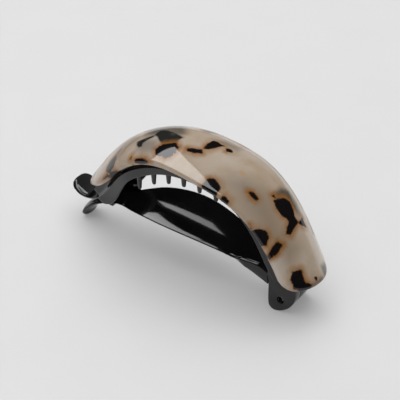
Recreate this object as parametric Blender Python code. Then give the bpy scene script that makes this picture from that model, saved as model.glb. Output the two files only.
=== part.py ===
"""Ponytail clip: an arched tortoise-patterned cover on a black two-arm frame, hinged at one end.

The clip stands on its hinge ears and on the tip of its lower tail. X runs along the clip from the
tail to the hinge, Y across it, Z up. Sections are square to the arch and are set out along it.
"""
import math

import bmesh
import bpy
import numpy as np

MM = 0.001
GAP = 0.3                      # between pieces that touch
MIDDLE_X = -3.46               # middle of the clip's length, which becomes X = 0

# The arch of the cover's outer face, one row for each sixth of its length.
ARCH_COLUMNS = ("x", "z", "half_width", "edge_drop")
ARCH = (
    (-46.5, 18.3, 11.5, 6.2),
    (-31.0, 38.3, 12.4, 5.0),
    (-12.8, 47.9, 12.8, 4.3),
    (5.3, 48.1, 13.4, 4.2),
    (21.8, 43.6, 13.0, 4.0),
    (35.6, 31.7, 12.1, 4.2),
    (48.0, 13.7, 11.6, 6.2),
)
COVER_THICKNESS = 2.2
EDGE_INSET = 0.9               # how far the edge wall leans in from the outer face to the underside
TIP_SETBACK = 0.10             # how far the corners stand back from the latch tip, as part of the arch
END_SETBACK = 0.04             # the same at the hinge end
TIP_POWER = 3.2                # squareness of the latch tip in plan
END_POWER = 3.0                # squareness of the hinge end in plan
COVER_CELLS = (40, 12)         # cells of the cover's grid along it and across it

# The frame under the cover, one row for each station along the same arch.
FRAME_COLUMNS = ("station", "half_width", "rail_depth")
FRAME = (
    (0.000, 7.5, 10.2),
    (0.025, 7.7, 12.7),
    (0.080, 8.7, 13.2),
    (0.160, 10.4, 11.9),
    (0.250, 10.9, 11.4),
    (0.350, 11.1, 10.0),
    (0.450, 11.3, 8.2),
    (0.550, 11.2, 7.3),
    (0.650, 10.7, 7.6),
    (0.760, 10.0, 8.6),
    (0.860, 8.7, 11.0),
    (0.940, 7.3, 13.2),
    (0.985, 6.7, 13.6),
)
FRAME_SECTIONS = 36
CHEEK_STATION = 0.012          # a further section that rounds the cheek at the latch end
WEB_THICKNESS = 1.5
RAIL_THICKNESS = 1.8
RAIL_LIP = 0.5                 # chamfer along the rail's lower edges
END_WALL_STATIONS = (0.955, 0.97, 0.985)
END_WALL_INSET = 0.6           # how far it stops short of the rails' outer faces
END_WALL_SINK = 0.5            # how far its top lies inside the web
END_WALL_DEPTH = 8.0
TOOTH_FIRST_X = -18.1
TOOTH_PITCH = 6.22
TOOTH_COUNT = 6
TOOTH_LENGTHS = (4.6, 4.3, 3.9, 3.4, 3.0, 2.6)
# Sections of a tooth from its root inside the rail to its point.
TOOTH_COLUMNS = ("share_of_length", "rise", "wide", "deep")
TOOTH = (
    (0.0, 0.9, 1.9, 1.5),
    (0.0, 0.0, 1.9, 1.5),
    (0.75, 0.0, 1.0, 0.9),
    (1.0, 0.0, 0.45, 0.45),
)
TOOTH_SIDES = 8

PIN_X = 36.7
PIN_Z = 5.0
PIN_RADIUS = 1.0
PIN_RECESS = 1.2
PIN_HOLE_RADIUS = 1.35
EAR_OUTER_Y = 7.0
EAR_THICKNESS = 2.6
KNUCKLE_RADIUS = 3.9
KNUCKLE_ARC = (-150, 100)      # degrees round the pin, from the neck's underside to its top
KNUCKLE_STEPS = 18
KNUCKLE_NECK = ((32.0, 11.4), (29.6, 11.3), (29.6, 9.2))
PIN_SIDES = 20
HOLE_OVERRUN = 1.0             # how far the pin hole's cutter reaches past the ears

# The outline of a hinge ear as (x, z) points, from the inner corner down, round the foot and back up.
EAR_OUTLINE = (
    (31.4, 14.5), (31.9, 11.0), (32.0, 5.4), (32.2, 2.0), (32.7, 0.9), (33.5, 0.25), (34.6, 0.0),
    (36.0, 0.35), (37.4, 1.05), (39.4, 2.6), (41.1, 4.8), (42.0, 7.0), (42.3, 9.0), (42.2, 11.0),
    (41.5, 13.6), (36.0, 18.0),
)

# The lower arm, one row for each section along X.
ARM_COLUMNS = ("x", "rim_z", "half_width", "trough", "wall")
ARM = (
    (-37.0, 12.2, 4.2, 0.0, 0.0),
    (-31.0, 14.4, 5.4, 0.3, 0.0),
    (-24.0, 16.9, 8.1, 0.9, 0.0),
    (-17.0, 18.3, 10.0, 1.3, 0.0),
    (-9.0, 18.9, 11.0, 1.4, 0.0),
    (-1.0, 18.6, 10.8, 1.4, 0.0),
    (8.0, 17.3, 9.4, 1.2, 0.0),
    (16.0, 15.4, 8.0, 1.0, 0.0),
    (23.0, 13.4, 7.1, 0.8, 1.6),
    (28.5, 11.3, 6.8, 0.5, 3.4),
    (31.0, 10.2, 6.7, 0.4, 3.4),
)
ARM_SECTIONS = 34
ARM_THICKNESS = 2.0
ARM_LIP = 0.4                  # chamfer along the rim
ARM_DISH_DROP = 0.25           # how far the dish starts below the rim
ARM_FLOOR_DROP = 0.1           # how far the underside's middle hangs below its sides
WALL_THICKNESS = 1.6
WALL_SHARE = 0.9               # share of the wall's height at which its inner chamfer starts
SHOULDER_DROP = 0.12           # the same below the open rim
DISH_SHARE = 0.96              # share of the width between the walls that the dish fills
UNDERCUT = 2.8                 # how far the side leans in below the open rim
WALL_UNDERCUT = 0.7            # the same where there is a wall
UNDERCUT_SPAN = (14.0, 22.0)   # x over which the one becomes the other
UNDERSIDE_INSET = 0.9

# The tails, one row for each section along the middle of the tongue.
TAIL_COLUMNS = ("x", "z", "half_width", "thickness")
UPPER_TAIL = (
    (-40.4, 18.7, 5.9, 2.6),
    (-41.6, 15.0, 6.2, 2.7),
    (-43.5, 12.3, 5.9, 2.7),
    (-47.0, 10.9, 5.4, 2.6),
    (-51.0, 11.5, 5.1, 2.4),
    (-54.6, 14.0, 5.0, 2.1),
)
LOWER_TAIL = (
    (-35.0, 12.3, 4.1, 1.9),
    (-39.5, 11.0, 4.2, 2.1),
    (-43.6, 8.9, 4.3, 2.3),
    (-46.8, 6.2, 4.3, 2.4),
    (-48.9, 3.2, 4.3, 2.4),
    (-49.7, 0.15, 4.3, 2.2),
)
TAIL_SIDES = 16
TAIL_STEPS = 12
TAIL_SQUARENESS = 0.7          # 1 is an ellipse, less is squarer
TAIL_TIP_RUN = 1.25            # rows over which the tip is rounded
TAIL_TIP_STEPS = 7
TAIL_TIP_POWER = 2.6
TAIL_TIP_LEAST = 0.03          # what is left of the width at the very tip, before the power
TAIL_TIP_THIN = 0.35           # what is left of the thickness there
TAIL_THIN_RATE = 1.6

# The catch and the guide wall behind it as (x, z) outlines, and where they stand across the arm.
CATCH_OUTLINE = ((-38.6, 9.4), (-38.6, 14.2), (-38.95, 15.0), (-38.4, 16.4), (-37.2, 16.4), (-36.9, 15.8),
                 (-36.9, 9.4))
CATCH_HALF_WIDTH = 2.6
GUIDE_OUTLINE = ((-41.2, 9.2), (-41.2, 12.2), (-37.4, 15.0), (-36.6, 15.5), (-30.6, 17.8), (-30.0, 17.4),
                 (-29.7, 13.4), (-36.0, 11.4))
GUIDE_SPAN = (3.6, 5.2)

# Each material's colour, roughness and metallic value.
TORTOISE = ((0.48, 0.36, 0.24), 0.12, 0.0)
BLACK = ((0.006, 0.006, 0.006), 0.2, 0.0)
STEEL = ((0.62, 0.62, 0.63), 0.3, 1.0)


def clear_scene():
    for item in list(bpy.data.objects):
        bpy.data.objects.remove(item, do_unlink=True)


def make_material(name, rgb, roughness, metallic):
    material = bpy.data.materials.new(name)
    material.use_nodes = True
    shader = material.node_tree.nodes["Principled BSDF"]
    shader.inputs["Base Color"].default_value = (*rgb, 1.0)
    shader.inputs["Roughness"].default_value = roughness
    shader.inputs["Metallic"].default_value = metallic
    return material


def column(table, columns, name):
    index = columns.index(name)
    return [row[index] for row in table]


def smooth_curve(knots, values):
    """A natural cubic through the knots. Returns a function of the knot variable."""
    knots = np.array(knots, dtype=float)
    values = np.array(values, dtype=float)
    count = len(knots)
    step = np.diff(knots)
    matrix = np.eye(count)
    right = np.zeros(count)
    for i in range(1, count - 1):
        matrix[i, i - 1] = step[i - 1]
        matrix[i, i] = 2 * (step[i - 1] + step[i])
        matrix[i, i + 1] = step[i]
        right[i] = 6 * ((values[i + 1] - values[i]) / step[i] - (values[i] - values[i - 1]) / step[i - 1])
    bend = np.linalg.solve(matrix, right)

    def at(t):
        i = int(np.clip(np.searchsorted(knots, t) - 1, 0, count - 2))
        left = t - knots[i]
        rest = knots[i + 1] - t
        h = step[i]
        cubic = (bend[i] * rest ** 3 + bend[i + 1] * left ** 3) / (6 * h)
        line = (values[i] / h - bend[i] * h / 6) * rest + (values[i + 1] / h - bend[i + 1] * h / 6) * left
        return float(cubic + line)

    return at


def table_curve(table, columns, knot, name):
    return smooth_curve(column(table, columns, knot), column(table, columns, name))


SIXTHS = [i / (len(ARCH) - 1) for i in range(len(ARCH))]
arch_x = smooth_curve(SIXTHS, column(ARCH, ARCH_COLUMNS, "x"))
arch_z = smooth_curve(SIXTHS, column(ARCH, ARCH_COLUMNS, "z"))
cover_half_width = smooth_curve(SIXTHS, column(ARCH, ARCH_COLUMNS, "half_width"))
edge_drop = smooth_curve(SIXTHS, column(ARCH, ARCH_COLUMNS, "edge_drop"))
frame_half_width = table_curve(FRAME, FRAME_COLUMNS, "station", "half_width")
rail_depth = table_curve(FRAME, FRAME_COLUMNS, "station", "rail_depth")


def to_world(x, y, z):
    return ((x - MIDDLE_X) * MM, y * MM, z * MM)


def on_arch(station, y, depth):
    """The point at a station of the arch, y across and depth below the outer face's middle line."""
    ahead = station + 0.001
    behind = station - 0.001
    dx = arch_x(ahead) - arch_x(behind)
    dz = arch_z(ahead) - arch_z(behind)
    length = math.hypot(dx, dz)
    return to_world(arch_x(station) + depth * dz / length, y, arch_z(station) - depth * dx / length)


def crown(station, y):
    """How far the cover's underside lies below its own middle line at y."""
    return edge_drop(station) * (y / (cover_half_width(station) - EDGE_INSET)) ** 2


def new_object(name, bm, material, smooth_angle=35):
    bmesh.ops.recalc_face_normals(bm, faces=bm.faces)
    mesh = bpy.data.meshes.new(name)
    bm.to_mesh(mesh)
    bm.free()
    mesh.shade_smooth()
    mesh.set_sharp_from_angle(angle=math.radians(smooth_angle))
    mesh.materials.append(material)
    item = bpy.data.objects.new(name, mesh)
    bpy.context.collection.objects.link(item)
    return item


def loft(name, rings, material):
    """One closed solid through a row of rings with the same number of points."""
    bm = bmesh.new()
    loops = [[bm.verts.new(point) for point in ring] for ring in rings]
    size = len(loops[0])
    for a, b in zip(loops, loops[1:]):
        for i in range(size):
            j = (i + 1) % size
            bm.faces.new((a[i], a[j], b[j], b[i]))
    bm.faces.new(loops[0])
    bm.faces.new(loops[-1])
    bmesh.ops.triangulate(bm, faces=bm.faces)
    return new_object(name, bm, material)


def plate(name, outline, y_low, y_high, material):
    """A flat plate across Y from an outline of (x, z) points."""
    rings = [[to_world(x, y, z) for x, z in outline] for y in (y_low, y_high)]
    return loft(name, rings, material)


def rod(name, radius, y_low, y_high, material, sides=PIN_SIDES):
    outline = []
    for i in range(sides):
        angle = 2 * math.pi * i / sides
        outline.append((PIN_X + radius * math.cos(angle), PIN_Z + radius * math.sin(angle)))
    return plate(name, outline, y_low, y_high, material)


def combine(base, other, operation, solver="EXACT"):
    """Joins or cuts two solids and keeps the result in base.

    Tails, ears, teeth, catch and knuckle need the other solver: the exact one loses the mesh there.
    """
    modifier = base.modifiers.new(operation.lower(), "BOOLEAN")
    modifier.operation = operation
    modifier.solver = solver
    modifier.object = other
    bpy.context.view_layer.update()
    graph = bpy.context.evaluated_depsgraph_get()
    result = bpy.data.meshes.new_from_object(base.evaluated_get(graph))
    base.modifiers.clear()
    base.data = result
    bpy.data.objects.remove(other, do_unlink=True)


def make_cover(material):
    """The crowned plate: a grid laid on the arch, extruded to its thickness."""
    along, across = COVER_CELLS
    bm = bmesh.new()
    bmesh.ops.create_grid(bm, x_segments=along, y_segments=across, size=0.5)
    lower = bmesh.ops.extrude_face_region(bm, geom=bm.faces[:], use_keep_orig=True)
    for item in lower["geom"]:
        if isinstance(item, bmesh.types.BMVert):
            item.co.z = -1.0
    for vert in bm.verts:
        share = vert.co.x + 0.5
        side = 2 * vert.co.y
        start = TIP_SETBACK * abs(side) ** TIP_POWER
        finish = 1 - END_SETBACK * abs(side) ** END_POWER
        station = start + share * (finish - start)
        y = side * (cover_half_width(station) + vert.co.z * EDGE_INSET)
        depth = edge_drop(station) * side ** 2 - vert.co.z * COVER_THICKNESS
        vert.co = on_arch(station, y, depth)
    return new_object("cover", bm, material)


def frame_ring(station):
    """The frame's section: a crowned web with a rail hanging from each side."""
    half = frame_half_width(station)
    inner = half - RAIL_THICKNESS
    bottom = rail_depth(station)
    top_gap = COVER_THICKNESS + GAP
    outer_ys = [half * (i / 4 - 1) for i in range(9)]
    inner_ys = [inner * (1 - i / 3) for i in range(7)]
    lip = RAIL_LIP
    points = [(y, top_gap + crown(station, y)) for y in outer_ys]
    points += [(half, bottom - lip), (half - lip, bottom), (inner + lip, bottom), (inner, bottom - lip)]
    points += [(y, top_gap + WEB_THICKNESS + crown(station, y)) for y in inner_ys]
    points += [(-inner, bottom - lip), (-inner - lip, bottom), (-half + lip, bottom), (-half, bottom - lip)]
    return [on_arch(station, y, depth) for y, depth in points]


def tail_ring(x, z, dx, dz, half_width, thickness):
    """A rounded flat section square to the tongue's run at (x, z)."""
    ring = []
    for i in range(TAIL_SIDES):
        angle = 2 * math.pi * (i + 0.5) / TAIL_SIDES
        c = math.cos(angle)
        s = math.sin(angle)
        across = half_width * math.copysign(abs(c) ** TAIL_SQUARENESS, c)
        up = thickness / 2 * math.copysign(abs(s) ** TAIL_SQUARENESS, s)
        ring.append(to_world(x - up * dz, across, z + up * dx))
    return ring


def make_tail(name, table, material):
    """A tongue through the table's sections with a rounded tip at its last row."""
    knots = list(range(len(table)))
    curve = {key: smooth_curve(knots, column(table, TAIL_COLUMNS, key)) for key in TAIL_COLUMNS}
    last = knots[-1]
    tip_start = last - TAIL_TIP_RUN
    stations = [last * i / TAIL_STEPS for i in range(TAIL_STEPS)]
    stations = [s for s in stations if s < tip_start]
    for i in range(TAIL_TIP_STEPS + 1):
        stations.append(tip_start + TAIL_TIP_RUN * math.sin(math.pi / 2 * i / TAIL_TIP_STEPS))
    rings = []
    for s in stations:
        dx = curve["x"](s + 0.01) - curve["x"](s - 0.01)
        dz = curve["z"](s + 0.01) - curve["z"](s - 0.01)
        length = math.hypot(dx, dz)
        reach = max(0.0, (s - tip_start) / TAIL_TIP_RUN)
        round_off = max(TAIL_TIP_LEAST, 1 - reach ** TAIL_TIP_POWER) ** (1 / TAIL_TIP_POWER)
        half_width = curve["half_width"](s) * round_off
        full = min(1.0, TAIL_THIN_RATE * round_off)
        thickness = curve["thickness"](s) * (TAIL_TIP_THIN + (1 - TAIL_TIP_THIN) * full)
        rings.append(tail_ring(curve["x"](s), curve["z"](s), dx / length, dz / length, half_width, thickness))
    return loft(name, rings, material)


def make_tooth(x, y, length, material):
    """A straight tapered tooth that hangs from the rail at x."""
    station = min((i / 200 for i in range(201)), key=lambda s: abs(rail_foot(s)[0] - x))
    foot_z = rail_foot(station)[1]
    side = math.copysign(1, y)
    middle = side * (frame_half_width(station) - RAIL_THICKNESS / 2)
    rings = []
    for share, rise, wide, deep in TOOTH:
        z = foot_z + rise - share * length
        ring = []
        for i in range(TOOTH_SIDES):
            angle = 2 * math.pi * (i + 0.5) / TOOTH_SIDES
            ring.append(to_world(x + wide / 2 * math.cos(angle), middle + deep / 2 * math.sin(angle), z))
        rings.append(ring)
    return loft("tooth", rings, material)


def rail_foot(station):
    """The (x, z) of the rail's lower edge at a station."""
    point = on_arch(station, 0.0, rail_depth(station))
    return point[0] / MM + MIDDLE_X, point[2] / MM


def make_ear(name, y_low, y_high, material):
    """A hinge ear: round below, running up into the rail and the end wall."""
    return plate(name, EAR_OUTLINE, y_low, y_high, material)


def make_end_wall(material):
    """The wall that closes the frame's hinge end between the rails."""
    rings = []
    top = COVER_THICKNESS + GAP + END_WALL_SINK
    for station in END_WALL_STATIONS:
        half = frame_half_width(station) - END_WALL_INSET
        ys = [half * (i / 3 - 1) for i in range(7)]
        points = [(y, top + crown(station, y)) for y in ys]
        points += [(half, END_WALL_DEPTH), (-half, END_WALL_DEPTH)]
        rings.append([on_arch(station, y, depth) for y, depth in points])
    return loft("end_wall", rings, material)


def make_upper_frame(material):
    first = FRAME[0][0]
    last = FRAME[-1][0]
    stations = [first + (last - first) * i / FRAME_SECTIONS for i in range(FRAME_SECTIONS + 1)]
    stations.insert(1, CHEEK_STATION)
    frame = loft("upper_frame", [frame_ring(s) for s in stations], material)
    combine(frame, make_end_wall(material), "UNION")
    combine(frame, make_tail("upper_tail", UPPER_TAIL, material), "UNION", "MANIFOLD")
    inner = EAR_OUTER_Y - EAR_THICKNESS
    for low, high in ((-EAR_OUTER_Y, -inner), (inner, EAR_OUTER_Y)):
        combine(frame, make_ear("ear", low, high, material), "UNION", "MANIFOLD")
    reach = EAR_OUTER_Y + HOLE_OVERRUN
    hole = rod("pin_hole", PIN_HOLE_RADIUS, -reach, reach, material)
    combine(frame, hole, "DIFFERENCE")
    for i in range(TOOTH_COUNT):
        x = TOOTH_FIRST_X + i * TOOTH_PITCH
        for side in (-1, 1):
            combine(frame, make_tooth(x, side, TOOTH_LENGTHS[i], material), "UNION", "MANIFOLD")
    return frame


def arm_ring(x):
    """The arm's section: a shallow dish with an undercut rim, and a side wall near the hinge."""
    half = arm["half_width"](x)
    rim = arm["rim_z"](x)
    trough = max(0.0, arm["trough"](x))
    wall = max(0.0, arm["wall"](x))
    inner = half - WALL_THICKNESS
    lip = ARM_LIP
    shoulder = rim + wall * WALL_SHARE - SHOULDER_DROP
    lean = float(np.interp(x, UNDERCUT_SPAN, (UNDERCUT, WALL_UNDERCUT)))
    bottom = rim - ARM_THICKNESS
    edge = rim + wall
    points = [(-half, edge - lip), (-half + lip, edge), (-inner - lip, edge), (-inner, shoulder)]
    for i in range(7):
        share = i / 3 - 1
        points.append((inner * share * DISH_SHARE, rim - ARM_DISH_DROP - trough * (1 - share ** 2)))
    points += [(inner, shoulder), (inner + lip, edge), (half - lip, edge), (half, edge - lip)]
    points.append((half - lean, bottom))
    for i in range(5):
        share = 1 - i / 2
        y = (half - lean - UNDERSIDE_INSET) * share
        points.append((y, bottom - trough * (1 - share ** 2) - ARM_FLOOR_DROP))
    points.append((-half + lean, bottom))
    return [to_world(x, y, z) for y, z in points]


arm = {key: table_curve(ARM, ARM_COLUMNS, "x", key) for key in ARM_COLUMNS}


def make_knuckle(material):
    """The round knuckle between the ears with the neck that carries it."""
    first, last = KNUCKLE_ARC
    outline = []
    for i in range(KNUCKLE_STEPS + 1):
        angle = math.radians(first + (last - first) * i / KNUCKLE_STEPS)
        outline.append((PIN_X + KNUCKLE_RADIUS * math.cos(angle), PIN_Z + KNUCKLE_RADIUS * math.sin(angle)))
    outline += KNUCKLE_NECK
    half = EAR_OUTER_Y - EAR_THICKNESS - GAP
    return plate("knuckle", outline, -half, half, material)


def make_catch(material):
    """The upright catch on the lower arm, which holds the clip shut behind the upper tail's root."""
    return plate("catch", CATCH_OUTLINE, -CATCH_HALF_WIDTH, CATCH_HALF_WIDTH, material)


def make_guide(material):
    """The low wall on the arm's far side that steers it between the rails as the clip shuts."""
    return plate("guide", GUIDE_OUTLINE, *GUIDE_SPAN, material)


def make_lower_arm(material):
    first = ARM[0][0]
    last = ARM[-1][0]
    rings = [arm_ring(first + (last - first) * i / ARM_SECTIONS) for i in range(ARM_SECTIONS + 1)]
    body = loft("lower_arm", rings, material)
    combine(body, make_tail("lower_tail", LOWER_TAIL, material), "UNION", "MANIFOLD")
    combine(body, make_catch(material), "UNION", "MANIFOLD")
    combine(body, make_guide(material), "UNION", "MANIFOLD")
    combine(body, make_knuckle(material), "UNION", "MANIFOLD")
    hole = rod("knuckle_hole", PIN_HOLE_RADIUS, -EAR_OUTER_Y, EAR_OUTER_Y, material)
    combine(body, hole, "DIFFERENCE")
    return body


def make_pin(material):
    reach = EAR_OUTER_Y - PIN_RECESS
    return rod("hinge_pin", PIN_RADIUS, -reach, reach, material)


def put_origin_on_pin(item):
    """Moves the object's origin onto the hinge axis and leaves its shape in place."""
    pin = np.array(to_world(PIN_X, 0.0, PIN_Z))
    for vert in item.data.vertices:
        vert.co = [vert.co[i] - pin[i] for i in range(3)]
    item.location = pin


def build():
    clear_scene()
    tortoise = make_material("tortoise_acetate", *TORTOISE)
    black = make_material("black_plastic", *BLACK)
    steel = make_material("steel", *STEEL)
    pieces = [make_cover(tortoise), make_upper_frame(black), make_pin(steel)]
    make_lower_arm(black)
    for piece in pieces:
        put_origin_on_pin(piece)


build()
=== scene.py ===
"""Ponytail clip: a tortoise-patterned cover on a black two-arm frame, hinged at one end."""

import math

import bmesh
import bpy
import numpy as np
from mathutils import Matrix, Vector


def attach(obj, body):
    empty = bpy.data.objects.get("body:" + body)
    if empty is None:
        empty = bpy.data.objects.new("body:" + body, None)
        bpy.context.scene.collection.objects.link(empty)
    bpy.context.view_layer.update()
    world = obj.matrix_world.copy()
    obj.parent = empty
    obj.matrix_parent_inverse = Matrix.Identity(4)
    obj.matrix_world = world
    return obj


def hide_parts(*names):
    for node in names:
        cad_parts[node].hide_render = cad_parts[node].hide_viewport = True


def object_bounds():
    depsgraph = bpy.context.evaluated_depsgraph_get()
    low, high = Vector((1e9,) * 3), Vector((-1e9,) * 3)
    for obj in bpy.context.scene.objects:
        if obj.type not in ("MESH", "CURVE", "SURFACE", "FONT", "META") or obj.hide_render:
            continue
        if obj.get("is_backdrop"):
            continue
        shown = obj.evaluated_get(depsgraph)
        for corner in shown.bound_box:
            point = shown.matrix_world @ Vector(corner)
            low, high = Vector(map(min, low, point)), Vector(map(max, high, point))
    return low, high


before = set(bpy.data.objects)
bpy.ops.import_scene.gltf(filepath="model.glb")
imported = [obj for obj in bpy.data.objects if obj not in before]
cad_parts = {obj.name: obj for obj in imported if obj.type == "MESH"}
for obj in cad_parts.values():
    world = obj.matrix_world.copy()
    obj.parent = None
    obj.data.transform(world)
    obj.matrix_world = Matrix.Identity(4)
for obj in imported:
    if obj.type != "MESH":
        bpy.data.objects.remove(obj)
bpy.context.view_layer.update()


# Cover
# The arched plate that shows when the clip is worn. It is cut from cream acetate sheet with
# black flakes laid through it, heat-bent over the frame, rounded at its edges and polished.

MM = 0.001
# The X in the tables below that lies over the middle of the clip.
MIDDLE_X = -3.46
# Left free between pieces that would touch.
GAP = 0.3

# The arch of the outer face in mm, one row for each sixth of the way from station 0 at the latch
# tip to station 1 at the hinge end: x, z, half its width, and how far its edges drop below its middle.
ARCH = (
    (-46.5, 18.3, 11.5, 6.2),
    (-31.0, 38.3, 12.4, 5.0),
    (-12.8, 47.9, 12.8, 4.3),
    (5.3, 48.1, 13.4, 4.2),
    (21.8, 43.6, 13.0, 4.0),
    (35.6, 31.7, 12.1, 4.2),
    (48.0, 13.7, 11.6, 6.2),
)
COVER_THICKNESS = 2.2
EDGE_LEAN = 0.9
COVER_ROUND = 0.75
UNDER_ROUND = 0.3
# Each end is a bow in plan: how far it stands back at the edges, as a share of the arch, by which
# power it does so, and the radius of its corners in mm.
TIP_SETBACK = 0.10
TIP_POWER = 3.2
TIP_CORNER = 1.4
END_SETBACK = 0.028
END_POWER = 2.6
END_CORNER = 3.4
# Cells along and across the plate, and steps round each half of its edge.
COVER_CELLS = (290, 64)
EDGE_TURNS = 4
ARCH_SAMPLES = 521
SLOPE_STEP = 0.001


def smooth_curve(knots, values):
    """A natural cubic through the knots. Returns a function of numbers or arrays."""
    knots = np.array(knots, dtype=float)
    values = np.array(values, dtype=float)
    step = np.diff(knots)
    matrix = np.eye(len(knots))
    right = np.zeros(len(knots))
    for i in range(1, len(knots) - 1):
        matrix[i, i - 1] = step[i - 1]
        matrix[i, i] = 2 * (step[i - 1] + step[i])
        matrix[i, i + 1] = step[i]
        right[i] = 6 * ((values[i + 1] - values[i]) / step[i] - (values[i] - values[i - 1]) / step[i - 1])
    bend = np.linalg.solve(matrix, right)

    def at(t):
        i = np.clip(np.searchsorted(knots, t) - 1, 0, len(knots) - 2)
        left = t - knots[i]
        rest = knots[i + 1] - t
        h = step[i]
        cubic = (bend[i] * rest ** 3 + bend[i + 1] * left ** 3) / (6 * h)
        line = (values[i] / h - bend[i] * h / 6) * rest + (values[i + 1] / h - bend[i + 1] * h / 6) * left
        return cubic + line

    return at


def curves_of(table, knots=None):
    """One smooth curve for each column of a table, by the given knots or by the first column."""
    rows = np.array(table)
    if knots is None:
        return [smooth_curve(rows[:, 0], rows[:, i]) for i in range(1, rows.shape[1])]
    return [smooth_curve(knots, rows[:, i]) for i in range(rows.shape[1])]


sixths = [i / (len(ARCH) - 1) for i in range(len(ARCH))]
arch_x, arch_z, cover_half, edge_drop = curves_of(ARCH, sixths)
arch_steps = np.linspace(-0.02, 1.02, ARCH_SAMPLES)
arch_runs = np.hypot(np.diff(arch_x(arch_steps)), np.diff(arch_z(arch_steps)))
arch_length = np.interp(arch_steps, arch_steps[1:], np.cumsum(arch_runs))
arch_length -= np.interp(0.0, arch_steps, arch_length)
ARCH_RUN = float(np.interp(1.0, arch_steps, arch_length))


def to_world(x, y, z):
    """Points in metres, as rows, from the tables' mm."""
    return np.column_stack([(x - MIDDLE_X) * MM, y * MM, z * MM])


def on_arch(station, y, depth):
    """Points at a station of the arch, y across it and depth below the outer face's middle line."""
    dx = arch_x(station + SLOPE_STEP) - arch_x(station - SLOPE_STEP)
    dz = arch_z(station + SLOPE_STEP) - arch_z(station - SLOPE_STEP)
    run = np.hypot(dx, dz)
    return to_world(arch_x(station) + depth * dz / run, y, arch_z(station) - depth * dx / run)


def finish_piece(name, mesh, material, body, nodes=(), sharp=40):
    """Shades a mesh, gives it its material and puts it on the body that carries it."""
    mesh.shade_smooth()
    mesh.set_sharp_from_angle(angle=math.radians(sharp))
    mesh.materials.append(material)
    piece = bpy.data.objects.new(name, mesh)
    bpy.context.collection.objects.link(piece)
    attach(piece, body)
    if nodes:
        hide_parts(*nodes)
    return piece


def mesh_of(name, bm):
    """Turns a finished bmesh into a mesh whose faces point outwards."""
    bmesh.ops.recalc_face_normals(bm, faces=bm.faces)
    if bm.calc_volume(signed=True) < 0:
        bmesh.ops.reverse_faces(bm, faces=bm.faces)
    mesh = bpy.data.meshes.new(name)
    bm.to_mesh(mesh)
    bm.free()
    return mesh


def rounded_plate(name, cells, radius, place, turns=EDGE_TURNS, inner_radius=None):
    """A grid extruded to a plate, with its rim subdivided and turned over a rounded edge.

    place(share, side, level, grow, sink) says where a point goes. share runs 0 to 1 along the plate
    and side -1 to 1 across it, level is 0 on the outer face and 1 on the inner one. grow is how far
    the outline has still to go out to its full size, as a negative length in mm, and sink how far
    the point lies in from its face.
    """
    bm = bmesh.new()
    bmesh.ops.create_grid(bm, x_segments=cells[0], y_segments=cells[1], size=0.5)
    inner = bmesh.ops.extrude_face_region(bm, geom=bm.faces[:], use_keep_orig=True)
    bmesh.ops.translate(bm, verts=[v for v in inner["geom"] if isinstance(v, bmesh.types.BMVert)],
                        vec=(0.0, 0.0, -1.0))
    rim = [e for e in bm.edges if abs(e.verts[0].co.z - e.verts[1].co.z) > 0.5]
    cuts = 2 * turns
    bmesh.ops.subdivide_edges(bm, edges=rim, cuts=cuts, use_grid_fill=True)
    flat = np.array([v.co for v in bm.verts])
    ring = np.rint(-flat[:, 2] * (cuts + 1)).astype(int)
    turn = np.where(ring <= turns, ring, cuts + 1 - ring) * (math.pi / 2 / turns)
    upper = ring <= turns
    size = np.where(upper, radius, inner_radius or radius)
    grow = -size * (1 - np.sin(turn))
    sink = size * (1 - np.cos(turn))
    level = np.where(upper, 0.0, 1.0)
    points = place(flat[:, 0] + 0.5, 2 * flat[:, 1], level, grow, np.where(upper, sink, -sink))
    for vert, point in zip(bm.verts, points):
        vert.co = point
    return mesh_of(name, bm)


def corner_back(side, half, radius):
    """How far a rounded corner stands back from the straight end, in mm, at a share of the width."""
    past = np.clip((np.abs(side) * half - half + radius) / radius, 0.0, 1.0)
    return radius * (1 - np.sqrt(np.maximum(0.0, 1 - past ** 2)))


def cover_plan(share, side, grow):
    """The station and the distance across of a point of the cover's plan."""
    start = TIP_SETBACK * np.abs(side) ** TIP_POWER
    finish = 1 - END_SETBACK * np.abs(side) ** END_POWER
    start = start + (corner_back(side, ARCH[0][2], TIP_CORNER) - grow) / ARCH_RUN
    finish = finish - (corner_back(side, ARCH[-1][2], END_CORNER) - grow) / ARCH_RUN
    station = start + share * (finish - start)
    return station, side * (cover_half(station) + grow)


def place_cover(share, side, level, grow, sink):
    """The cover's sheet, with its edges leaning in toward its underside."""
    station, across = cover_plan(share, side, grow)
    half = cover_half(station)
    lean = EDGE_LEAN * np.where(level > 0.5, 1.0, 0.0)
    outer = edge_drop(station) * (across / half) ** 2
    across_under = across * (half - lean) / half
    return on_arch(station, across_under, outer + level * COVER_THICKNESS + sink)


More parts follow.
